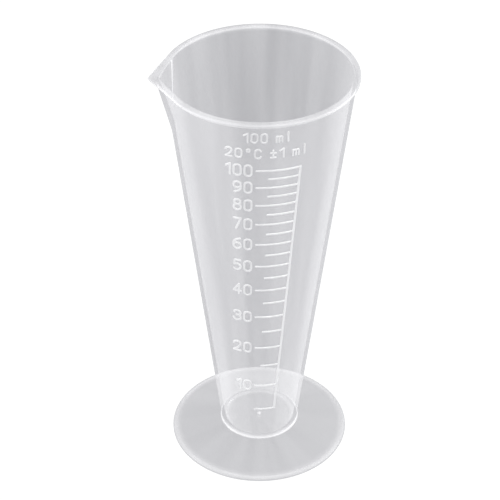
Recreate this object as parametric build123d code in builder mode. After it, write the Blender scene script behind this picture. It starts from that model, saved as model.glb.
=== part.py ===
"""Conical measure, 100 ml: a one-piece translucent moulding, split into its moulded features.

A tapered cup with a pouring lip stands on a dished round foot.  The scale is raised on the
outside of the cup: a slanting spine, twenty graduations, ten numerals and two legend lines.
Origin: on the cup's axis at the table.  +Z is up, the lip points to -X, the scale faces -Y.
"""

import os
from math import cos, pi, radians, sin, sqrt

from build123d import *

# ---- cup ----
total_height = 126.0
cone_base_radius = 10.88      # outside of the cone, carried down to the table
cone_growth = 0.125           # outside radius gained per millimetre of height
wall = 1.06                   # measured along the radius
floor_top = 4.5
floor_underside = 3.45
floor_corner_radius = 1.4     # inside corner between floor and wall
gate_recess_radius = 2.9
gate_recess_depth = 0.3
gate_radius = 0.75
gate_height = 0.45

# ---- rim and pouring lip ----
rim_height = 1.4
rim_radius = 27.4             # outside of the bead
rim_lower_round = 0.6
rim_upper_round = 0.35
lip_tip_radius = 30.7         # outside of the bead at the lip's tip
lip_tip_round = 0.7
lip_inner_reach = 2.25        # channel beyond the cup's inside radius, at the rim
lip_outer_reach = 2.5         # lip wall beyond the cup's outside radius, at the rim
lip_inner_fade = 15.0         # depth below the rim where the channel runs out
lip_outer_fade = 17.5
lip_half_angle = 23.0         # each side of the lip, seen from above, at the rim
lip_sector = 28.0             # half angle of the piece that holds the lip
lip_sector_depth = 20.0

# ---- foot ----
foot_bead_radius = 0.8        # section of the rounded edge
foot_bead_centre = 25.7
foot_bead_height = 0.76       # centre of the section, a little low, so the edge has a flat land
web_top_at_cup = 4.5
web_top_at_edge = 1.2
web_thickness = 1.05
stem_fillet_size = 0.5

# ---- raised scale ----
relief = 0.25
capacity = 100                # millilitres at the top graduation
graduation_step = 5
graduation_width = 0.5
spine_width = 0.6
spine_x_at_table = 2.05       # centre line of the spine, seen from the front
spine_lean = 0.0583
major_left_at_table = -2.75   # left ends of the long graduations
major_left_lean = -0.0092
minor_left_at_table = -1.75   # left ends of the short graduations
minor_left_lean = 0.0128
numeral_height = 4.2
numeral_stroke = 0.52
numeral_width = 2.4
numeral_advance = 2.85
numeral_gap = 0.8             # from a numeral to its graduation
one_width = 1.5
legend_centre_x = -1.2
capacity_legend_z = 121.0
tolerance_legend_z = 115.7
legend_height = 3.4
legend_stroke = 0.45
legend_advance = 2.55
legend_width = 2.0

rim_underside = total_height - rim_height
floor_inner_radius = cone_base_radius - wall + cone_growth * floor_top

# Centre lines of the characters in a unit cell: two points make a straight stroke,
# three points an arc through the middle one.
GLYPHS = {
    "0": [[(0, .26), (0, .74)], [(1, .26), (1, .74)], [(0, .74), (.5, 1), (1, .74)],
          [(0, .26), (.5, 0), (1, .26)]],
    "1": [[(0, .78), (1, 1)], [(1, 1), (1, 0)]],
    "2": [[(0, .76), (.5, 1), (1, .74)], [(1, .74), (.8, .47), (0, 0)], [(0, 0), (1, 0)]],
    "3": [[(.05, .82), (.52, 1), (.95, .77)], [(.95, .77), (.84, .6), (.4, .54)],
          [(.4, .54), (.86, .46), (1, .27)], [(1, .27), (.5, 0), (0, .2)]],
    "4": [[(.74, 0), (.74, 1)], [(.74, 1), (0, .3)], [(0, .3), (1, .3)]],
    "5": [[(.92, 1), (.14, 1)], [(.14, 1), (.06, .56)], [(.06, .56), (1, .33), (0, .12)]],
    "6": [[(0, .29), (.5, .58), (1, .29)], [(0, .29), (.5, 0), (1, .29)],
          [(0, .29), (.2, .8), (.88, 1)]],
    "7": [[(0, 1), (1, 1)], [(1, 1), (.35, 0)]],
    "8": [[(.08, .77), (.5, 1), (.92, .77)], [(.08, .77), (.5, .54), (.92, .77)],
          [(0, .27), (.5, .54), (1, .27)], [(0, .27), (.5, 0), (1, .27)]],
    "9": [[(1, .71), (.5, .42), (0, .71)], [(1, .71), (.5, 1), (0, .71)],
          [(1, .71), (.8, .2), (.12, 0)]],
    "m": [[(0, 0), (0, .64)], [(0, .44), (.25, .64), (.5, .44)], [(.5, .44), (.5, 0)],
          [(.5, .44), (.75, .64), (1, .44)], [(1, .44), (1, 0)]],
    "l": [[(.4, 1), (.4, 0)]],
    "C": [[(1, .8), (.5, 1), (0, .72)], [(0, .72), (0, .28)], [(0, .28), (.5, 0), (1, .2)]],
    "°": [[(.25, .85), (.5, 1), (.75, .85)], [(.25, .85), (.5, .7), (.75, .85)]],
    "±": [[(.05, .58), (.95, .58)], [(.5, .88), (.5, .28)], [(.05, .06), (.95, .06)]],
}


def outer_radius(z):
    return cone_base_radius + cone_growth * z


def inner_radius(z):
    return outer_radius(z) - wall


def level_of(millilitres):
    """Height of the liquid's surface, from the volume of the cup's tapered inside."""
    cube = floor_inner_radius ** 3 + 3 * cone_growth * millilitres * 1000 / pi
    return (cube ** (1 / 3) - inner_radius(0)) / cone_growth


def spine_x(z):
    return spine_x_at_table + spine_lean * z


def major_left(z):
    return major_left_at_table + major_left_lean * z


def minor_left(z):
    return minor_left_at_table + minor_left_lean * z


def web_top(radius):
    """Upper surface of the dished foot at a radius."""
    start = outer_radius(web_top_at_cup)
    share = (radius - start) / (foot_bead_centre - start)
    return web_top_at_cup + share * (web_top_at_edge - web_top_at_cup)


def lip_solid(radius_at, reach, fade):
    """The lip's prow: a triangle that points to -X, closing into the cone as it goes down."""
    top = -1.0                # the prow starts above the rim, so that it cuts right through
    sections = 5
    with BuildPart() as prow:
        for i in range(sections):
            depth = top + i * (fade + 1.0 - top) / (sections - 1)
            z = total_height - depth
            radius = radius_at(z)
            tip = radius + reach * (1 - depth / fade)
            half = radians(lip_half_angle) * sqrt(max(1 - depth / (fade + 1.5), 0))
            corner = ((radius - 0.06) * cos(half), (radius - 0.06) * sin(half))
            with BuildSketch(Plane.XY.offset(z)):
                Polygon((-tip, 0), (-corner[0], -corner[1]), (-corner[0], corner[1]), align=None)
        loft()
    return prow.part


def ring_band(bottom, top, inside, outside):
    """A conical band between two radius functions."""
    with BuildPart() as band:
        with BuildSketch(Plane.XZ):
            Polygon((inside(bottom), bottom), (outside(bottom), bottom),
                    (outside(top), top), (inside(top), top), align=None)
        revolve(axis=Axis.Z)
    return band.part


# ---- helper solids, none of them a finished piece ----
with BuildPart() as inside_space:
    with BuildSketch(Plane.XZ):
        Polygon((0, floor_underside), (inner_radius(floor_underside), floor_underside),
                (inner_radius(total_height + 1), total_height + 1), (0, total_height + 1),
                align=None)
    revolve(axis=Axis.Z)
    add(lip_solid(inner_radius, lip_inner_reach, lip_inner_fade))

with BuildPart() as cup_shell:
    with BuildSketch(Plane.XZ):
        Polygon((0, floor_underside), (outer_radius(floor_underside), floor_underside),
                (outer_radius(rim_underside), rim_underside), (0, rim_underside), align=None)
    revolve(axis=Axis.Z)
    add(lip_solid(outer_radius, lip_outer_reach, lip_outer_fade))
    split(bisect_by=Plane.XY.offset(rim_underside), keep=Keep.BOTTOM)
    add(inside_space.part, mode=Mode.SUBTRACT)

with BuildPart() as sector:
    with BuildSketch(Plane.XY.offset(total_height - lip_sector_depth)):
        far = 40.0
        side = (-far * cos(radians(lip_sector)), far * sin(radians(lip_sector)))
        Polygon((0, 0), (side[0], -side[1]), (-far, 0), side, align=None)
    extrude(amount=lip_sector_depth + 2)

with BuildPart() as rim_shell:
    with BuildSketch(Plane.XY.offset(rim_underside)):
        Circle(rim_radius)
        with Locations((lip_tip_round - lip_tip_radius, 0)):
            Circle(lip_tip_round)
        make_hull()
    extrude(amount=rim_height)
    fillet(faces().sort_by(Axis.Z)[0].edges(), rim_lower_round)
    fillet(faces().sort_by(Axis.Z)[-1].edges(), rim_upper_round)
    add(inside_space.part, mode=Mode.SUBTRACT)

skin = ring_band(10.0, rim_underside - 0.2, outer_radius, lambda z: outer_radius(z) + relief)

pieces = {}


def keep(builder, name):
    builder.part.label = name
    pieces[name] = builder.part


# ---- cup ----
with BuildPart() as cup_wall:
    add(cup_shell.part)
    add(sector.part, mode=Mode.SUBTRACT)
keep(cup_wall, "cup_wall")

with BuildPart() as pouring_lip:
    add(cup_shell.part)
    add(sector.part, mode=Mode.INTERSECT)
keep(pouring_lip, "pouring_lip")

with BuildPart() as cup_floor:
    with BuildSketch(Plane.XZ):
        with BuildLine():
            corner_top = floor_top + floor_corner_radius
            corner_inside = floor_inner_radius - floor_corner_radius
            Polyline((corner_inside, floor_top), (0, floor_top),
                     (0, floor_underside + gate_recess_depth),
                     (gate_recess_radius, floor_underside + gate_recess_depth),
                     (gate_recess_radius, floor_underside),
                     (inner_radius(floor_underside), floor_underside),
                     (inner_radius(corner_top), corner_top))
            RadiusArc((inner_radius(corner_top), corner_top), (corner_inside, floor_top),
                      -1.1 * floor_corner_radius)
        make_face()
    revolve(axis=Axis.Z)
keep(cup_floor, "cup_floor")

with BuildPart() as gate_mark:
    with BuildSketch(Plane.XY.offset(floor_underside + gate_recess_depth - gate_height)):
        Circle(gate_radius)
    extrude(amount=gate_height)
    fillet(faces().sort_by(Axis.Z)[0].edges(), 0.3)
keep(gate_mark, "gate_mark")

# ---- rim ----
with BuildPart() as rim_bead:
    add(rim_shell.part)
    add(sector.part, mode=Mode.SUBTRACT)
keep(rim_bead, "rim_bead")

with BuildPart() as lip_bead:
    add(rim_shell.part)
    add(sector.part, mode=Mode.INTERSECT)
keep(lip_bead, "lip_bead")

# ---- foot ----
with BuildPart() as foot_edge_bead:
    with BuildSketch(Plane.XZ):
        with Locations((foot_bead_centre, foot_bead_height)):
            Circle(foot_bead_radius)
    revolve(axis=Axis.Z)
    split(bisect_by=Plane.XY, keep=Keep.TOP)
keep(foot_edge_bead, "foot_edge_bead")

with BuildPart() as foot_disc:
    with BuildSketch(Plane.XZ):
        underside_at_cup = web_top_at_cup - web_thickness
        Polygon((outer_radius(web_top_at_cup), web_top_at_cup),
                (foot_bead_centre, web_top_at_edge),
                (foot_bead_centre, web_top_at_edge - web_thickness),
                (outer_radius(underside_at_cup), underside_at_cup), align=None)
    revolve(axis=Axis.Z)
    add(foot_edge_bead.part, mode=Mode.SUBTRACT)
keep(foot_disc, "foot_disc")

with BuildPart() as stem_fillet:
    with BuildSketch(Plane.XZ):
        with BuildLine():
            corner = (outer_radius(web_top_at_cup), web_top_at_cup)
            up = (outer_radius(web_top_at_cup + stem_fillet_size),
                  web_top_at_cup + stem_fillet_size)
            out = (corner[0] + stem_fillet_size, web_top(corner[0] + stem_fillet_size))
            Polyline(up, corner, out)
            RadiusArc(out, up, 1.3 * stem_fillet_size)
        make_face()
    revolve(axis=Axis.Z)
keep(stem_fillet, "stem_fillet")


# ---- raised scale ----
def raise_from_cone():
    """Carry the sketch out to the front and leave only what lies in the raised skin."""
    extrude(amount=rim_radius + 5, dir=(0, -1, 0))
    add(skin, mode=Mode.INTERSECT)


def stroke_face(spots, stroke):
    """A round-ended stroke along a line or an arc, facing up out of the sketch."""
    path = Edge.make_line(*spots) if len(spots) == 2 else Edge.make_three_point_arc(*spots)
    face = Face(Wire([path]).offset_2d(stroke / 2))
    return face if face.normal_at().Z > 0 else -face


def draw_text(text, right, centre_z, height, width, advance, stroke):
    """Strokes of a line of characters that ends at the given right edge."""
    tall = height - stroke
    pen = right
    for character in reversed(text):
        if character == " ":
            pen -= advance * 0.6
            continue
        wide = (one_width if character == "1" else width) - stroke
        left = pen - stroke / 2 - wide
        for points in GLYPHS[character]:
            spots = [(left + x * wide, centre_z + (y - 0.5) * tall) for x, y in points]
            add(stroke_face(spots, stroke))
        pen -= advance - width + wide + stroke


def legend(text, centre_z):
    """A legend line in the middle of the scale."""
    length = legend_advance * (len(text) - 0.4 * text.count(" "))
    draw_text(text, legend_centre_x + length / 2, centre_z, legend_height, legend_width,
              legend_advance, legend_stroke)


levels = range(graduation_step, capacity + 1, graduation_step)
lowest = level_of(graduation_step) - graduation_width / 2
highest = level_of(capacity) + graduation_width / 2

with BuildPart() as scale_spine:
    with BuildSketch(Plane.XZ):
        half = spine_width / 2
        Polygon((spine_x(lowest) - half, lowest), (spine_x(lowest) + half, lowest),
                (spine_x(highest) + half, highest), (spine_x(highest) - half, highest),
                align=None)
    raise_from_cone()
keep(scale_spine, "scale_spine")


def graduations(chosen, left_of):
    """Level bars from their left ends to the spine."""
    with BuildPart() as bars:
        with BuildSketch(Plane.XZ):
            for millilitres in chosen:
                z = level_of(millilitres)
                left = left_of(z) if millilitres > graduation_step else major_left(z)
                with Locations(((left + spine_x(z)) / 2, z)):
                    Rectangle(spine_x(z) - left, graduation_width)
        raise_from_cone()
        add(scale_spine.part, mode=Mode.SUBTRACT)
    return bars


keep(graduations([v for v in levels if v % 10 == 0], major_left), "major_graduations")
keep(graduations([v for v in levels if v % 10 != 0], minor_left), "minor_graduations")

for millilitres in range(10, capacity + 1, 10):
    z = level_of(millilitres)
    with BuildPart() as numeral:
        with BuildSketch(Plane.XZ):
            draw_text(str(millilitres), major_left(z) - numeral_gap, z, numeral_height,
                      numeral_width, numeral_advance, numeral_stroke)
        raise_from_cone()
    keep(numeral, f"numeral_{millilitres}")

with BuildPart() as capacity_legend:
    with BuildSketch(Plane.XZ):
        legend("100 ml", capacity_legend_z)
    raise_from_cone()
keep(capacity_legend, "capacity_legend")

with BuildPart() as tolerance_legend:
    with BuildSketch(Plane.XZ):
        legend("20°C ±1 ml", tolerance_legend_z)
    raise_from_cone()
keep(tolerance_legend, "tolerance_legend")

os.makedirs("parts", exist_ok=True)
for name, piece in pieces.items():
    export_step(piece, f"parts/{name}.step")
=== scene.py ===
"""Conical measure: looks for a tapered measuring cup in milky translucent plastic.

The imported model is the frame.  The cup, its rim, lip and foot become one closed moulding with
soft edges; the raised scale, numerals and legend become soft strokes sunk a little into it.
Everything is in metres: +Z is up, the lip points to -X and the scale faces -Y.
"""

import math

import bmesh
import bpy
from mathutils import Matrix, Vector


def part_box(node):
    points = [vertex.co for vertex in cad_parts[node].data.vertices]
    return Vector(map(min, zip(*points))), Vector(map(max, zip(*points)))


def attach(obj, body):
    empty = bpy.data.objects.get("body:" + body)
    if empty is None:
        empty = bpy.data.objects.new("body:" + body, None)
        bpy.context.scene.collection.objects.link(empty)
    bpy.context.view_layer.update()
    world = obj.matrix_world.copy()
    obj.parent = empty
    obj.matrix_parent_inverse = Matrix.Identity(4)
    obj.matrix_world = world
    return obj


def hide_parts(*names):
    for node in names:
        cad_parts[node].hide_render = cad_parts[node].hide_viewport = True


bl_info = {
    "name": "Conical measure",
    "version": (1, 0, 0),
    "blender": (4, 5, 0),
    "location": "3D View > Sidebar > Measure",
    "description": "Builds a translucent conical measuring cup around its packed model",
    "category": "Object",
}

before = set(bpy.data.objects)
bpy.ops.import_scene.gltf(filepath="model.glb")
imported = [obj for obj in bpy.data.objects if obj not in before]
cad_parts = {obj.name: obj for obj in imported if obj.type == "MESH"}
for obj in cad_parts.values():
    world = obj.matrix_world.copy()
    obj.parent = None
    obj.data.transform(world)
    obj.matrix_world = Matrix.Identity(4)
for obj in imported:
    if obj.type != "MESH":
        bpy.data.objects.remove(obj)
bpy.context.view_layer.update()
MM = 0.001
QUARTER = math.pi / 2

BODY_NODES = ("cup_wall", "pouring_lip", "cup_floor", "gate_mark", "rim_bead", "lip_bead",
              "stem_fillet", "foot_disc", "foot_edge_bead")
SCALE_NODES = ("scale_spine", "major_graduations", "minor_graduations")
NUMERAL_NODES = tuple(f"numeral_{value}" for value in range(10, 101, 10))
LEGEND_NODES = ("capacity_legend", "tolerance_legend")


# ---------------------------------------------------------------- settings
def length(name, description, millimetres):
    """A length property whose default is given in millimetres."""
    return bpy.props.FloatProperty(name=name, description=description, default=millimetres * MM,
                                   precision=5, subtype="DISTANCE", unit="LENGTH")


def share(name, description, value):
    """A plain factor from 0 to 1."""
    return bpy.props.FloatProperty(name=name, description=description, default=value,
                                   min=0.0, max=1.0, subtype="FACTOR")


def tint(name, description, red, green, blue):
    """A colour property."""
    return bpy.props.FloatVectorProperty(name=name, description=description, size=3,
                                         default=(red, green, blue), subtype="COLOR")


class MouldingSettings(bpy.types.PropertyGroup):
    """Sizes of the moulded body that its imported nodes' boxes don't give."""

    wall: length("Wall", "Thickness of the cup's wall, along the radius", 1.06)
    floor_corner: length("Floor corner", "Round between the cup's floor and wall", 1.4)
    floor_thickness: length("Floor thickness", "Thickness of the cup's floor", 1.05)
    rim_inner_round: length("Inner rim round", "Width of the round at the mouth's edge", 0.35)
    rim_inner_depth: length("Inner rim depth", "Depth of the round at the mouth's edge", 0.5)
    rim_upper_reach: length("Upper rim reach", "Width of the bead's upper outer round", 1.1)
    rim_upper_round: length("Upper rim round", "Depth of the bead's upper outer round", 0.6)
    rim_lower_round: length("Lower rim round", "Round at the bead's lower outer edge", 0.6)
    rim_crown: length("Rim crown", "Rise of the bead's top over its edges", 0.1)
    under_rim_round: length("Round under rim", "Round between the bead and the wall", 0.35)
    lip_inner_reach: length("Channel reach", "Lip channel beyond the mouth's radius", 2.25)
    lip_outer_reach: length("Lip reach", "Lip wall beyond the cup's outer radius", 2.5)
    lip_inner_fade: length("Channel depth", "Depth where the lip's channel runs out", 14.0)
    lip_outer_fade: length("Lip depth", "Depth where the lip's outer wall runs out", 17.5)
    lip_bulge: length("Lip bulge", "Outward swell of the lip's two side walls", 0.16)
    lip_tip_round: length("Lip tip round", "Round of the bead at the lip's tip", 0.7)
    lip_angle: bpy.props.FloatProperty(
        name="Lip angle", description="Half angle of the lip at the rim, seen from above",
        default=math.radians(24.0), subtype="ANGLE", unit="ROTATION")
    lip_bead_lift: length("Lip bead lift", "Rise of the bead's underside at the lip", 0.45)
    # Partly the thick bead's own milkiness and partly painted light: it whitens the bead's
    # outer face and its underside, which would lie in shade.
    rim_thickness_and_painted_light: share("Rim milk", "Extra milkiness of the thick rim bead", 0.32)
    # Partly thickness and partly a painted highlight: a bright line along the mouth's inner
    # edge.
    mouth_thickness_and_highlight: share("Mouth milk", "Extra milkiness of the mouth's inner edge", 0.24)
    rim_top_milk: share("Rim top milk", "Extra milkiness of the bead's flat top", 0.05)
    # Partly thickness and partly painted light: it brightens the round under the bead, which
    # would lie in shade.
    under_rim_thickness_and_painted_light: share("Under rim milk", "Extra milkiness of the round under the bead", 0.3)
    # Partly thickness and partly a painted highlight along the fold beside the lip.
    crease_thickness_and_highlight: share("Crease milk", "Extra milkiness of the fold beside the lip", 0.5)
    # Partly thickness and partly a painted highlight: a bright ring round the cup's floor.
    corner_thickness_and_highlight: share("Corner milk", "Extra milkiness round the cup's floor", 0.16)
    # Partly thickness and partly a painted highlight: a bright ring on the round above the
    # foot.
    stem_thickness_and_highlight: share("Stem milk", "Extra milkiness of the round above the foot", 0.5)
    foot_milk: share("Foot milk", "Extra milkiness of the foot's rounded edge", 0.155)
    gate_milk: share("Gate milk", "Extra milkiness of the moulding mark", 0.45)
    foot_edge: length("Foot edge", "Section radius of the foot's rounded edge", 0.8)
    web_at_cup: length("Foot at cup", "Height of the foot's top where it meets the cup", 4.5)
    web_at_edge: length("Foot at edge", "Height of the foot's top inside its edge", 1.2)
    web_thickness: length("Foot thickness", "Thickness of the foot's dished disc", 1.05)
    stem_round: length("Stem round", "Size of the round between cup and foot", 0.5)
    gate_recess: length("Gate recess", "Radius of the shallow recess under the floor", 2.9)
    gate_depth: length("Recess depth", "Depth of the recess under the floor", 0.3)
    gate_radius: length("Gate radius", "Radius of the small moulding mark", 0.75)
    gate_height: length("Gate height", "Height of the small moulding mark", 0.45)


class ScaleSettings(bpy.types.PropertyGroup):
    """How the raised strokes are softened and seated."""

    sink: length("Sink", "How far the strokes reach into the wall", 0.1)
    grid: length("Grid", "Cell size used to soften the strokes", 0.075)
    softening: bpy.props.IntProperty(name="Softening", description="Smoothing passes",
                                     default=3, min=0, max=20)


class FinishSettings(bpy.types.PropertyGroup):
    """Colour and clearness of the plastic."""

    body_colour: tint("Body", "Colour of the milky plastic", 0.94, 0.94, 0.952)
    mark_colour: tint("Strokes", "Colour of the raised strokes", 0.97, 0.975, 0.98)
    wall_haze: share("Wall haze", "Milkiness of each face of the thin walls", 0.11)
    side_haze: share("Side haze", "Extra milkiness where a wall is seen edge on", 0.36)
    mark_haze: share("Stroke haze", "Milkiness of the raised strokes", 0.42)
    gloss_blur: share("Gloss blur", "Roughness of the moulded surface", 0.2)


LIT_POINT = (0.0, 0.0, 0.06)
PANELS = {
    "left_panel": ((-1.1, -0.1, 0.35), (0.8, 0.8)),
    "right_panel": ((1.1, -0.1, 0.35), (0.8, 0.8)),
    "front_panel": ((-0.1, -1.2, 0.3), (0.6, 0.5)),
    "top_panel": ((0.0, 0.0, 1.2), (0.9, 0.9)),
}


def watts(name, description, value):
    """The power of a light panel."""
    return bpy.props.FloatProperty(name=name, description=description, default=value, min=0.0,
                                   unit="POWER")


class StageSettings(bpy.types.PropertyGroup):
    """Floor, lights and camera."""

    left_panel: watts("Left panel", "Soft light beside the lip", 9.0)
    right_panel: watts("Right panel", "Soft light on the right", 11.0)
    front_panel: watts("Front panel", "Soft light in front", 4.5)
    top_panel: watts("Top panel", "Soft light overhead", 10.0)

    backdrop: bpy.props.FloatProperty(
        name="Backdrop", description="Brightness of the floor as the plastic sees it",
        default=0.405, min=0.0)
    backdrop_tint: tint("Backdrop tint", "Tint of the floor as the plastic sees it",
                        0.985, 0.985, 1.035)
    ambient: bpy.props.FloatProperty(
        name="Ambient", description="Brightness of the room around the object",
        default=0.59, min=0.0)
    focal: bpy.props.FloatProperty(name="Focal length", description="Camera lens",
                                   default=140.67, unit="CAMERA")
    camera_place: bpy.props.FloatVectorProperty(
        name="Camera place", description="Where the camera stands", size=3,
        default=(-0.0480, -0.4571, 0.3965), subtype="TRANSLATION", unit="LENGTH")
    camera_turn: bpy.props.FloatVectorProperty(
        name="Camera turn", description="How the camera is turned", size=3,
        default=(math.radians(54.30), 0.0, math.radians(-5.64)), subtype="EULER",
        unit="ROTATION")


# ---------------------------------------------------------------- shape of the moulding
# A row is a radius, a height and an extra milkiness, each a function of the angle from the lip;
# in some rows the extra milkiness is partly painted highlights and painted light.
def steps(start, end, count):
    """Evenly spaced values from start to end, both included."""
    return [start + (end - start) * i / count for i in range(count + 1)]


def bell(part):
    """0 at both ends of a stretch and 1 in its middle."""
    return math.sin(math.pi * part) ** 2


def ring(radius, z, milk=0.0):
    """A round, level row."""
    return (lambda a: radius, lambda a: z, lambda a: milk)


def band(radius_at, z, milk=0.0):
    """A level row whose radius follows the angle."""
    return (radius_at, lambda a: z, lambda a: milk)


class Moulding:
    """Heights and radii of the body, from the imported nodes' boxes and the settings."""

    def __init__(self, settings):
        self.s = settings
        rim_low, rim_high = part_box("rim_bead")
        wall_low, wall_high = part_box("cup_wall")
        floor_low, floor_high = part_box("cup_floor")
        foot_low, foot_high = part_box("foot_edge_bead")
        lip_low, lip_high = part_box("lip_bead")
        self.top = rim_high.z
        self.rim_underside = rim_low.z
        self.rim_radius = rim_high.x
        self.lip_tip = -lip_low.x
        self.floor_underside = floor_low.z
        self.floor_top = floor_low.z + settings.floor_thickness
        wide, narrow = wall_high.x, floor_high.x + settings.wall
        self.growth = (wide - narrow) / (wall_high.z - floor_high.z)
        self.base = wide - self.growth * wall_high.z
        self.foot_centre = foot_high.x - settings.foot_edge
        self.foot_height = foot_high.z - settings.foot_edge
        self.lip_start = self.top - settings.lip_outer_fade - 1.0 * MM
        self.stem_end = self.outer(settings.web_at_cup) + settings.stem_round
        self.mark_tip = self.floor_underside + settings.gate_depth - settings.gate_height

    def outer(self, z):
        return self.base + self.growth * z

    def inner(self, z):
        return self.outer(z) - self.s.wall

    def prow(self, angle, radius, reach, fade, depth, softness):
        """Radius of a wall at an angle from the lip's middle, with the lip drawn out of it."""
        if depth >= fade:
            return radius
        half = self.half_angle(radius, reach, fade, depth)
        reach *= 1.0 - max(depth, 0.0) / fade
        turn = math.sqrt(angle * angle + softness * softness)
        if turn >= half:
            return radius
        tip_x = radius + reach
        run_x, run_y = radius * math.cos(half) - tip_x, radius * math.sin(half)
        straight = tip_x * run_y / (math.cos(turn) * run_y - math.sin(turn) * run_x)
        swell = self.s.lip_bulge * math.sin(math.pi * turn / half) * (1.0 - depth / fade)
        return straight + swell

    def half_angle(self, radius, reach, fade, depth):
        """Where the lip's side wall leaves the round wall."""
        left = 1.0 - max(depth, 0.0) / fade
        half = self.s.lip_angle * math.sqrt(max(left, 0.0))
        return min(half, math.acos(radius / (radius + reach * left)))

    # Mask of the crease's painted highlight.
    def on_crease(self, angle, z):
        """1 on the fold between the lip's channel and the cup's inside, 0 away from it."""
        depth, fade = self.top - z, self.s.lip_inner_fade
        if depth >= fade:
            return 0.0
        half = self.half_angle(self.inner(z), self.s.lip_inner_reach, fade, depth)
        away = (abs(angle) - half) / math.radians(1.5)
        return math.exp(-away * away) * min(1.0, (fade - depth) / (3.0 * MM))

    def under_rim(self, angle):
        """Height of the bead's underside, which rises a little towards the lip."""
        near = max(0.0, 1.0 - abs(angle) / math.radians(50.0))
        return self.rim_underside + self.s.lip_bead_lift * near * near * (3.0 - 2.0 * near)

    def inner_at(self, angle, z):
        return self.prow(angle, self.inner(z), self.s.lip_inner_reach, self.s.lip_inner_fade,
                         self.top - z, math.radians(0.5))

    def outer_at(self, angle, z):
        return self.prow(angle, self.outer(z), self.s.lip_outer_reach, self.s.lip_outer_fade,
                         self.top - z, math.radians(1.0))

    def bead_at(self, angle, inset):
        """Outline of the rim bead: a circle and the small round at the lip's tip, joined."""
        angle = abs(angle)
        big = self.rim_radius - inset
        small = max(self.s.lip_tip_round - inset, 0.05 * MM)
        reach = self.lip_tip - self.s.lip_tip_round
        turn = math.acos((big - small) / reach)
        if angle >= turn:
            return big
        touch = math.atan2(small * math.sin(turn), reach + small * math.cos(turn))
        if angle > touch:
            return big / math.cos(turn - angle)
        side = reach * math.sin(angle)
        return reach * math.cos(angle) + math.sqrt(max(small * small - side * side, 0.0))

    def web_top(self, radius):
        start = self.outer(self.s.web_at_cup)
        part = (radius - start) / (self.foot_centre - start)
        return self.s.web_at_cup + part * (self.s.web_at_edge - self.s.web_at_cup)

    def inside_rows(self):
        """The cup's floor, the round corner and the inner wall up to the mouth."""
        s = self.s
        corner = s.floor_corner
        corner_top = self.floor_top + corner
        flat_end = self.inner(corner_top) - corner
        rows = [ring(0.35 * MM, self.floor_top, s.gate_milk),
                ring(0.55 * MM, self.floor_top, 0.4 * s.gate_milk)]
        rows += [ring(radius, self.floor_top) for radius in steps(0.8 * MM, flat_end, 14)]
        # Painted highlight, partly thickness: the corner's extra milkiness peaks in the middle
        # of the round, giving a bright ring.
        for turn in steps(0.0, QUARTER, 8)[1:]:
            rows.append(ring(flat_end + corner * math.sin(turn),
                             corner_top - corner * math.cos(turn),
                             s.corner_thickness_and_highlight * bell(turn / QUARTER)))
        wall_end = self.top - s.rim_crown - s.rim_inner_depth - 0.3 * MM
        heights = steps(corner_top, self.lip_start, 40)[1:]
        heights += steps(self.lip_start, wall_end, 56)[1:]
        # Painted highlight, partly thickness: extra milkiness along the fold beside the lip,
        # where on_crease is 1.
        for z in heights:
            rows.append((lambda a, z=z: self.inner_at(a, z), lambda a, z=z: z,
                         lambda a, z=z: s.crease_thickness_and_highlight * self.on_crease(a, z)))
        return rows

    def rim_rows(self):
        """The mouth's inner edge, the crowned top, the outer face and the bead's underside."""
        s = self.s
        top = self.top - s.rim_crown
        edge, upper, reach = s.rim_inner_round, s.rim_upper_round, s.rim_upper_reach
        lower, under = s.rim_lower_round, s.under_rim_round
        rows = []
        # Painted highlight, partly thickness: the mouth's extra milkiness is strongest where
        # the inner round meets the wall, a bright line round the mouth.
        for turn in steps(0.0, QUARTER, 8):
            rows.append(band(
                lambda a, t=turn: self.inner_at(a, self.top) + edge * (1.0 - math.cos(t)),
                top - s.rim_inner_depth * (1.0 - math.sin(turn)),
                s.rim_top_milk + s.mouth_thickness_and_highlight * math.cos(turn) ** 4))
        for part in steps(0.0, 1.0, 6)[1:-1]:
            rows.append(band(
                lambda a, p=part: (1.0 - p) * (self.inner_at(a, self.top) + edge)
                + p * self.bead_at(a, reach),
                top + s.rim_crown * math.sin(math.pi * part), s.rim_top_milk))
        # Partly thickness and partly painted light: the extra milkiness grows as the round
        # turns to face outward.
        for turn in steps(0.0, QUARTER, 9):
            rows.append(band(
                lambda a, t=turn: self.bead_at(a, reach * (1.0 - math.sin(t))),
                top - upper + upper * math.cos(turn),
                s.rim_top_milk + (s.rim_thickness_and_painted_light - s.rim_top_milk) * math.sin(turn) ** 5))
        # Painted light, partly thickness: the bead's rounded underside, which would lie in
        # shade, gets the full extra milkiness.
        for turn in steps(0.0, QUARTER, 7):
            rows.append((lambda a, t=turn: self.bead_at(a, lower * (1.0 - math.cos(t))),
                         lambda a, t=turn: self.under_rim(a) + lower * (1.0 - math.sin(t)),
                         lambda a: s.rim_thickness_and_painted_light))
        # Painted light, partly thickness: the round under the bead gets its own extra
        # milkiness.
        for turn in steps(0.0, QUARTER, 5):
            rows.append((lambda a, t=turn: self.outer_at(a, self.rim_underside)
                         + under * (1.0 - math.sin(t)),
                         lambda a, t=turn: self.under_rim(a) - under * (1.0 - math.cos(t)),
                         lambda a: s.under_rim_thickness_and_painted_light))
        return rows

    def outside_rows(self):
        """The outer wall, down to the round above the foot and round it."""
        s = self.s
        stem_up = s.web_at_cup + s.stem_round
        heights = steps(self.rim_underside - s.under_rim_round, self.lip_start, 56)[1:]
        heights += steps(self.lip_start, stem_up + 2.0 * MM, 40)[1:]
        rows = [band(lambda a, z=z: self.outer_at(a, z), z) for z in heights]
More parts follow.
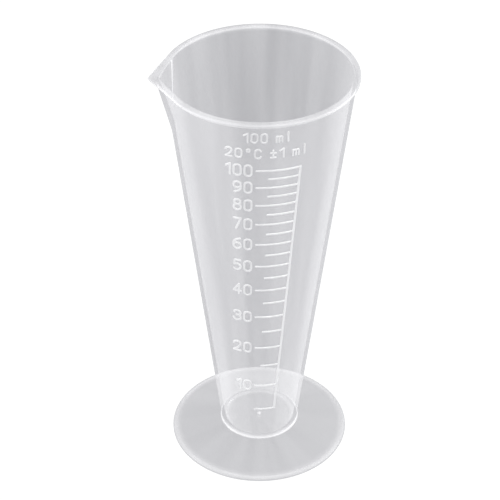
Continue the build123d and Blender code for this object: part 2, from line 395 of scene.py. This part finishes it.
        # Painted highlight, partly thickness: the extra milkiness rises down to the round above
        # the foot and fades out across it, giving a bright ring.
        for above, milk in ((1.3 * MM, 0.3), (0.45 * MM, 2.0 / 3.0), (0.25 * MM, 5.0 / 6.0),
                            (0.05 * MM, 1.0)):
            z = stem_up + above
            rows.append(ring(self.outer(z), z, s.stem_thickness_and_highlight * milk))
        start = Vector((self.outer(stem_up), stem_up))
        middle = Vector((self.outer(s.web_at_cup), s.web_at_cup))
        end = Vector((self.stem_end, self.web_top(self.stem_end)))
        for part in steps(0.0, 1.0, 8):
            spot = (start * (1 - part) ** 2 + middle * (2 * part * (1 - part))
                    + end * part ** 2)
            rows.append(ring(spot.x, spot.y, s.stem_thickness_and_highlight * (1.0 - part ** 4)))
        return rows

    def foot_rows(self):
        """The foot's disc, its rounded edge with a flat land, and the disc's underside."""
        s = self.s
        bead, centre, height = s.foot_edge, self.foot_centre, self.foot_height
        join_top, join_low = math.radians(136.0), math.radians(216.0)
        join_radius = centre + bead * math.cos(join_top)
        disc = join_radius - 0.35 * MM - self.stem_end
        rows = []
        for part in steps(0.0, 1.0, 14)[1:-1]:
            radius = self.stem_end + disc * part
            rows.append(ring(radius, self.web_top(radius)))
        rows.append(ring(join_radius - 0.12 * MM, self.web_top(join_radius) - 0.015 * MM,
                         0.5 * s.foot_milk))
        land = math.asin(-height / bead)
        for turn in steps(join_top, land, 22) + steps(math.pi - land, join_low, 6):
            rows.append(ring(centre + bead * math.cos(turn),
                             max(height + bead * math.sin(turn), 0.0), s.foot_milk))
        low_radius = centre + bead * math.cos(join_low)
        stem_radius = self.outer(s.web_at_cup - s.web_thickness)
        for part in steps(0.0, 1.0, 14)[1:]:
            radius = low_radius - 0.15 * MM + (stem_radius - low_radius) * part
            rows.append(ring(radius, self.web_top(radius) - s.web_thickness))
        return rows

    def underside_rows(self):
        """The underside of the cup's floor, its recess and the small moulding mark."""
        s = self.s
        recess = self.floor_underside + s.gate_depth
        outer_end = self.outer(s.web_at_cup - s.web_thickness) - 0.5 * MM
        rows = [ring(radius, self.floor_underside)
                for radius in steps(outer_end, s.gate_recess + 0.1 * MM, 8)]
        rows += [ring(radius, recess)
                 for radius in steps(s.gate_recess, s.gate_radius + 0.1 * MM, 6)]
        rows.append(ring(s.gate_radius, recess - 0.06 * MM, 0.5 * s.gate_milk))
        for turn in steps(0.0, QUARTER, 5):
            rows.append(ring(0.45 * MM + 0.3 * MM * math.cos(turn),
                             self.mark_tip + 0.3 * MM * (1 - math.sin(turn)), s.gate_milk))
        return rows

    def rows(self):
        """Rows of the body from the middle of the floor, up the inside, over the rim, down the
        outside, over the foot and back to the middle underneath."""
        return (self.inside_rows() + self.rim_rows() + self.outside_rows() + self.foot_rows()
                + self.underside_rows())

    def angles(self):
        """Angles from the lip's middle, closer together where the lip is."""
        near = [math.radians(0.25) * i for i in range(8)]
        near += [math.radians(2.0 + 0.5 * i) for i in range(60)]
        far_start, far_count = math.radians(32.0), 74
        near += [far_start + (math.pi - far_start) * i / far_count for i in range(far_count)]
        return [-a for a in reversed(near[1:])] + near + [math.pi]


def build_body(settings):
    """One closed mesh of the whole moulding."""
    form = Moulding(settings)
    angles = form.angles()
    mesh = bmesh.new()
    # Extra milkiness per corner: thickness, with painted highlights and painted light in
    # places.
    milk = mesh.verts.layers.float.new("milk")
    grid = []
    for radius_at, z_at, milk_and_light_at in form.rows():
        line = []
        for angle in angles:
            radius = radius_at(angle)
            corner = mesh.verts.new((-radius * math.cos(angle), -radius * math.sin(angle),
                                     z_at(angle)))
            corner[milk] = milk_and_light_at(angle)
            line.append(corner)
        grid.append(line)
    first = mesh.verts.new((0.0, 0.0, form.floor_top))
    first[milk] = settings.gate_milk
    last = mesh.verts.new((0.0, 0.0, form.mark_tip))
    last[milk] = settings.gate_milk
    count = len(angles)
    for i in range(count):
        j = (i + 1) % count
        mesh.faces.new((first, grid[0][i], grid[0][j]))
        mesh.faces.new((last, grid[-1][j], grid[-1][i]))
        for k in range(len(grid) - 1):
            mesh.faces.new((grid[k][i], grid[k + 1][i], grid[k + 1][j], grid[k][j]))
    bmesh.ops.recalc_face_normals(mesh, faces=mesh.faces)
    data = bpy.data.meshes.new("moulded_body")
    mesh.to_mesh(data)
    mesh.free()
    data.shade_smooth()
    data.set_sharp_from_angle(angle=math.radians(50.0))
    piece = bpy.data.objects.new("moulded_body", data)
    bpy.context.scene.collection.objects.link(piece)
    return piece


def soften_strokes(node, settings, form):
    """A packed scale node as one soft-edged stroke piece, sunk a little into the wall."""
    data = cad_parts[node].data.copy()
    relief_middle = 0.12 * MM
    for vertex in data.vertices:
        flat = math.hypot(vertex.co.x, vertex.co.y)
        if flat < form.outer(vertex.co.z) + relief_middle:
            pull = (flat - settings.sink) / flat
            vertex.co.x *= pull
            vertex.co.y *= pull
    data.transform(Matrix.Scale(1.0 / MM, 4))
    data.materials.clear()
    rough = bpy.data.objects.new(f"{node}_rough", data)
    bpy.context.scene.collection.objects.link(rough)
    weld = rough.modifiers.new("Weld", "WELD")
    weld.merge_threshold = 0.0005
    remesh = rough.modifiers.new("Soft", "REMESH")
    remesh.mode = "VOXEL"
    remesh.voxel_size = settings.grid / MM
    remesh.use_smooth_shade = True
    smooth = rough.modifiers.new("Round", "SMOOTH")
    smooth.factor = 0.5
    smooth.iterations = settings.softening
    graph = bpy.context.evaluated_depsgraph_get()
    soft = bpy.data.meshes.new_from_object(rough.evaluated_get(graph))
    soft.transform(Matrix.Scale(MM, 4))
    soft.shade_smooth()
    name = f"soft_{node}"
    soft.name = name
    bpy.data.objects.remove(rough)
    bpy.data.meshes.remove(data)
    piece = bpy.data.objects.new(name, soft)
    bpy.context.scene.collection.objects.link(piece)
    return piece


# ---------------------------------------------------------------- finishes
def socket(group, name, direction, kind, default=None):
    """A named socket on a shader node group."""
    made = group.interface.new_socket(name=name, in_out=direction, socket_type=kind)
    if default is not None:
        made.default_value = default
    return made


def scaled_sum(tree, value, factor, rest):
    """Value times factor, plus rest; factor and rest are sockets or plain numbers."""
    node = tree.nodes.new("ShaderNodeMath")
    node.operation = "MULTIPLY_ADD"
    tree.links.new(value, node.inputs[0])
    for slot, given in zip(node.inputs[1:], (factor, rest)):
        if isinstance(given, float):
            slot.default_value = given
        else:
            tree.links.new(given, slot)
    return node.outputs[0]


def reflection_streak_and_grain_group():
    """Soft upright streaks round the wall, painted reflections that tint the colour and the
    milkiness and also roughen and bump the surface, and a fine even grain.
    """
    found = bpy.data.node_groups.get("moulded_flow")
    if found:
        return found
    group = bpy.data.node_groups.new("moulded_flow", "ShaderNodeTree")
    socket(group, "Streaks", "INPUT", "NodeSocketFloat", 0.05)
    socket(group, "Grain", "INPUT", "NodeSocketFloat", 0.02)
    socket(group, "Colour", "INPUT", "NodeSocketColor", (1.0, 1.0, 1.0, 1.0))
    socket(group, "Roughness", "INPUT", "NodeSocketFloat", 0.15)
    socket(group, "Colour", "OUTPUT", "NodeSocketColor")
    socket(group, "Roughness", "OUTPUT", "NodeSocketFloat")
    socket(group, "Height", "OUTPUT", "NodeSocketFloat")
    socket(group, "Cloud", "OUTPUT", "NodeSocketFloat")
    nodes, links = group.nodes, group.links
    given = nodes.new("NodeGroupInput")
    result = nodes.new("NodeGroupOutput")
    place = nodes.new("ShaderNodeTexCoord")
    flat = nodes.new("ShaderNodeVectorMath")
    flat.operation = "MULTIPLY"
    flat.inputs[1].default_value = (1.0, 1.0, 0.0)
    links.new(place.outputs["Object"], flat.inputs[0])
    bearing = nodes.new("ShaderNodeVectorMath")
    bearing.operation = "NORMALIZE"
    links.new(flat.outputs["Vector"], bearing.inputs[0])
    climb = nodes.new("ShaderNodeVectorMath")
    climb.operation = "MULTIPLY_ADD"
    climb.inputs[1].default_value = (0.0, 0.0, 3.0)
    links.new(place.outputs["Object"], climb.inputs[0])
    links.new(bearing.outputs["Vector"], climb.inputs[2])
    streak = nodes.new("ShaderNodeTexNoise")
    streak.inputs["Scale"].default_value = 3.0
    streak.inputs["Detail"].default_value = 2.5
    streak.inputs["Roughness"].default_value = 0.55
    links.new(climb.outputs["Vector"], streak.inputs["Vector"])
    height_of = nodes.new("ShaderNodeSeparateXYZ")
    links.new(place.outputs["Object"], height_of.inputs[0])
    calm = nodes.new("ShaderNodeMapRange")
    calm.inputs["From Max"].default_value = 14.0 * MM
    calm.inputs["To Min"].default_value = 0.2
    links.new(height_of.outputs["Z"], calm.inputs["Value"])
    grain = nodes.new("ShaderNodeTexNoise")
    grain.inputs["Scale"].default_value = 2600.0
    grain.inputs["Detail"].default_value = 2.0
    links.new(place.outputs["Object"], grain.inputs["Vector"])

    # Painted reflection: soft upright streaks, weaker near the foot.
    swing = scaled_sum(group, streak.outputs["Fac"], 1.0, -0.5)
    streaks = scaled_sum(group, swing, calm.outputs["Result"], 0.0)
    grains = scaled_sum(group, grain.outputs["Fac"], 1.0, -0.5)
    # Painted reflection in the colour: the streaks lighten and darken it in bands; the grain is
    # the plastic's own.
    level = scaled_sum(group, streaks, given.outputs["Streaks"], 1.0)
    level = scaled_sum(group, grains, given.outputs["Grain"], level)
    tone = nodes.new("ShaderNodeVectorMath")
    tone.operation = "SCALE"
    links.new(given.outputs["Colour"], tone.inputs[0])
    links.new(level, tone.inputs["Scale"])
    links.new(tone.outputs["Vector"], result.inputs["Colour"])
    rough = scaled_sum(group, streaks, given.outputs["Streaks"], given.outputs["Roughness"])
    rough = scaled_sum(group, grains, given.outputs["Grain"], rough)
    links.new(rough, result.inputs["Roughness"])
    height = scaled_sum(group, grains, given.outputs["Grain"], streaks)
    links.new(height, result.inputs["Height"])
    # Painted reflection: the same streaks, passed on to make the milkiness uneven.
    links.new(scaled_sum(group, streaks, 1.0, 0.5), result.inputs["Cloud"])
    return group


def plastic(name, colour, haze, streaks, grain, wave):
    """Plastic with streaks painted as reflections, a fine grain and a soft sheen."""
    material = bpy.data.materials.new(name)
    material.use_nodes = True
    nodes, links = material.node_tree.nodes, material.node_tree.links
    shader = nodes["Principled BSDF"]
    shader.inputs["IOR"].default_value = 1.49
    shader.inputs["Metallic"].default_value = 0.0
    streaks_and_grain = nodes.new("ShaderNodeGroup")
    streaks_and_grain.node_tree = reflection_streak_and_grain_group()
    streaks_and_grain.inputs["Streaks"].default_value = streaks
    streaks_and_grain.inputs["Grain"].default_value = grain
    streaks_and_grain.inputs["Colour"].default_value = (*colour, 1.0)
    streaks_and_grain.inputs["Roughness"].default_value = haze
    links.new(streaks_and_grain.outputs["Colour"], shader.inputs["Base Color"])
    links.new(streaks_and_grain.outputs["Roughness"], shader.inputs["Roughness"])
    bump = nodes.new("ShaderNodeBump")
    bump.inputs["Strength"].default_value = wave
    bump.inputs["Distance"].default_value = 0.01 * MM
    links.new(streaks_and_grain.outputs["Height"], bump.inputs["Height"])
    links.new(bump.outputs["Normal"], shader.inputs["Normal"])
    return material


def make_milky(material, haze, edge_haze):
    """Lets light straight through, less so in thick places, where a wall is seen edge on and
    where the extra milkiness paints highlights and light; the streaks make it uneven as painted
    reflection, and faces seen from behind keep less extra milkiness as painted shade.
    """
    streak_haze_swing, streak_haze_base = 2.2, -0.1
    edge_sharpness = 3.5
    thick_cut = -20.0
    painted_back_shade = -0.7
    tree = material.node_tree
    nodes, links = tree.nodes, tree.links
    streaks_and_grain = next(n for n in nodes if n.type == "GROUP")
    thick = nodes.new("ShaderNodeAttribute")
    thick.attribute_name = "milk"
    facing = nodes.new("ShaderNodeLayerWeight")
    facing.inputs["Blend"].default_value = 0.5
    edge_on = nodes.new("ShaderNodeMath")
    edge_on.operation = "POWER"
    edge_on.inputs[1].default_value = edge_sharpness
    links.new(facing.outputs["Facing"], edge_on.inputs[0])
    thin = scaled_sum(tree, thick.outputs["Fac"], thick_cut, 1.0)
    thin.node.use_clamp = True
    side = scaled_sum(tree, edge_on.outputs[0], thin, 0.0)
    # Painted shade: faces seen from behind keep only 0.3 of their extra milkiness, so they come
    # out darker.
    geometry = nodes.new("ShaderNodeNewGeometry")
    lit_side = scaled_sum(tree, geometry.outputs["Backfacing"], painted_back_shade, 1.0)
    # Painted reflection: the streaks make the milkiness uneven in upright bands.
    level = scaled_sum(tree, streaks_and_grain.outputs["Cloud"], streak_haze_swing * haze, streak_haze_base * haze)
    level = scaled_sum(tree, side, edge_haze, level)
    # Extra milkiness from the attribute: thickness, with painted highlights and painted light
    # in places.
    level = scaled_sum(tree, thick.outputs["Fac"], lit_side, level)
    clamp = nodes.new("ShaderNodeClamp")
    links.new(level, clamp.inputs["Value"])
    links.new(clamp.outputs["Result"], nodes["Principled BSDF"].inputs["Alpha"])


def finish_material(name):
    """The named finish, made once from the settings."""
    found = bpy.data.materials.get(name)
    if found:
        return found
    s = bpy.context.scene.measure_finish
    if name == "milky_plastic":
        made = plastic(name, s.body_colour, s.gloss_blur, 0.06, 0.03, 0.25)
        make_milky(made, s.wall_haze, s.side_haze)
    else:
        made = plastic(name, s.mark_colour, s.gloss_blur, 0.03, 0.03, 0.15)
        make_milky(made, s.mark_haze, s.side_haze)
    return made


# ---------------------------------------------------------------- operators
class MEASURE_OT_body(bpy.types.Operator):
    """Build the moulded cup, rim, lip and foot"""

    bl_idname = "measure.body"
    bl_label = "Moulded body"

    def execute(self, context):
        piece = build_body(context.scene.measure_moulding)
        piece.data.materials.append(finish_material("milky_plastic"))
        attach(piece, "root")
        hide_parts(*BODY_NODES)
        return {"FINISHED"}


def build_strokes(context, nodes):
    """Softened pieces for a group of scale nodes."""
    form = Moulding(context.scene.measure_moulding)
    for node in nodes:
        piece = soften_strokes(node, context.scene.measure_scale, form)
        piece.data.materials.clear()
        piece.data.materials.append(finish_material("raised_stroke"))
        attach(piece, "root")
        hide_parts(node)


class MEASURE_OT_graduations(bpy.types.Operator):
    """Build the slanting spine and the twenty level bars"""

    bl_idname = "measure.graduations"
    bl_label = "Graduations"

    def execute(self, context):
        build_strokes(context, SCALE_NODES)
        return {"FINISHED"}


class MEASURE_OT_numerals(bpy.types.Operator):
    """Build the ten raised numerals"""

    bl_idname = "measure.numerals"
    bl_label = "Numerals"

    def execute(self, context):
        build_strokes(context, NUMERAL_NODES)
        return {"FINISHED"}


class MEASURE_OT_legend(bpy.types.Operator):
    """Build the two legend lines above the scale"""

    bl_idname = "measure.legend"
    bl_label = "Legend"

    def execute(self, context):
        build_strokes(context, LEGEND_NODES)
        return {"FINISHED"}


def area_light(name, place, target, size, power):
    """A large soft panel that faces a point."""
    data = bpy.data.lights.new(name, "AREA")
    data.shape = "RECTANGLE"
    data.size, data.size_y = size
    data.energy = power
    light = bpy.data.objects.new(name, data)
    light.location = place
    light.rotation_euler = (Vector(target) - Vector(place)).to_track_quat("-Z", "Y").to_euler()
    light.visible_camera = False
    bpy.context.scene.collection.objects.link(light)
    return light


def seen_or_used(tree, seen, used):
    """A glow that has one colour when looked at directly and another for the object."""
    nodes, links = tree.nodes, tree.links
    path = nodes.new("ShaderNodeLightPath")
    glow = nodes.new("ShaderNodeMix")
    glow.data_type = "RGBA"
    glow.inputs["A"].default_value = (*used, 1.0)
    glow.inputs["B"].default_value = (seen, seen, seen, 1.0)
    clear = nodes.new("ShaderNodeMath")
    clear.operation = "LESS_THAN"
    clear.inputs[1].default_value = 0.5
    links.new(path.outputs["Transparent Depth"], clear.inputs[0])
    direct = nodes.new("ShaderNodeMath")
    direct.operation = "MULTIPLY"
    links.new(clear.outputs[0], direct.inputs[0])
    links.new(path.outputs["Is Camera Ray"], direct.inputs[1])
    links.new(direct.outputs[0], glow.inputs["Factor"])
    return glow.outputs["Result"]


class MEASURE_OT_stage(bpy.types.Operator):
    """Lay the pale floor, hang the soft lights and set up the camera"""

    bl_idname = "measure.stage"
    bl_label = "Stage"

    def execute(self, context):
        scene = context.scene
        s = scene.measure_stage
        scene.view_settings.view_transform = "Standard"
        mesh = bmesh.new()
        bmesh.ops.create_grid(mesh, x_segments=4, y_segments=4, size=3.0)
        data = bpy.data.meshes.new("studio_floor")
        mesh.to_mesh(data)
        mesh.free()
        floor = bpy.data.objects.new("studio_floor", data)
        floor.location = (0.0, 0.0, -0.05 * MM)
        scene.collection.objects.link(floor)
        paper = bpy.data.materials.new("white_paper")
        paper.use_nodes = True
        nodes, links = paper.node_tree.nodes, paper.node_tree.links
        nodes.remove(nodes["Principled BSDF"])
        glow = nodes.new("ShaderNodeEmission")
        backdrop = [s.backdrop * part for part in s.backdrop_tint]
        links.new(seen_or_used(paper.node_tree, 1.06, backdrop), glow.inputs["Color"])
        links.new(glow.outputs["Emission"], nodes["Material Output"].inputs["Surface"])
        data.materials.append(paper)

        world = bpy.data.worlds.new("studio_room")
        scene.world = world
        world.use_nodes = True
        back = world.node_tree.nodes["Background"]
        world.node_tree.links.new(seen_or_used(world.node_tree, 1.06, [s.ambient] * 3),
                                  back.inputs["Color"])

        for name, (place, size) in PANELS.items():
            area_light(name, place, LIT_POINT, size, getattr(s, name))

        data = bpy.data.cameras.new("product_camera")
        data.sensor_width = 36.0
        data.lens = s.focal
        data.clip_start, data.clip_end = 0.01, 20.0
        camera = bpy.data.objects.new("product_camera", data)
        camera.location = s.camera_place
        camera.rotation_euler = s.camera_turn
        scene.collection.objects.link(camera)
        scene.camera = camera
        return {"FINISHED"}


class MEASURE_PT_panel(bpy.types.Panel):
    """Sizes, finish and steps of the measure"""

    bl_idname = "MEASURE_PT_panel"
    bl_label = "Conical measure"
    bl_space_type = "VIEW_3D"
    bl_region_type = "UI"
    bl_category = "Measure"

    def draw(self, context):
        scene = context.scene
        for title, group in (("Moulding", scene.measure_moulding),
                             ("Scale", scene.measure_scale),
                             ("Finish", scene.measure_finish),
                             ("Stage", scene.measure_stage)):
            box = self.layout.box()
            box.label(text=title)
            for name in group.bl_rna.properties.keys():
                if name not in ("rna_type", "name"):
                    box.prop(group, name)
        for operator in OPERATORS:
            self.layout.operator(operator.bl_idname)


GROUPS = {"measure_moulding": MouldingSettings, "measure_scale": ScaleSettings,
          "measure_finish": FinishSettings, "measure_stage": StageSettings}
OPERATORS = (MEASURE_OT_body, MEASURE_OT_graduations, MEASURE_OT_numerals, MEASURE_OT_legend,
             MEASURE_OT_stage)


def register():
    for group in GROUPS.values():
        bpy.utils.register_class(group)
    for name, group in GROUPS.items():
        setattr(bpy.types.Scene, name, bpy.props.PointerProperty(type=group))
    for operator in OPERATORS:
        bpy.utils.register_class(operator)
    bpy.utils.register_class(MEASURE_PT_panel)


def unregister():
    bpy.utils.unregister_class(MEASURE_PT_panel)
    for operator in reversed(OPERATORS):
        bpy.utils.unregister_class(operator)
    for name, group in reversed(GROUPS.items()):
        delattr(bpy.types.Scene, name)
        bpy.utils.unregister_class(group)


def main():
    register()
    bpy.ops.measure.body()
    bpy.ops.measure.graduations()
    bpy.ops.measure.numerals()
    bpy.ops.measure.legend()
    bpy.ops.measure.stage()


if __name__ == "__main__":
    main()
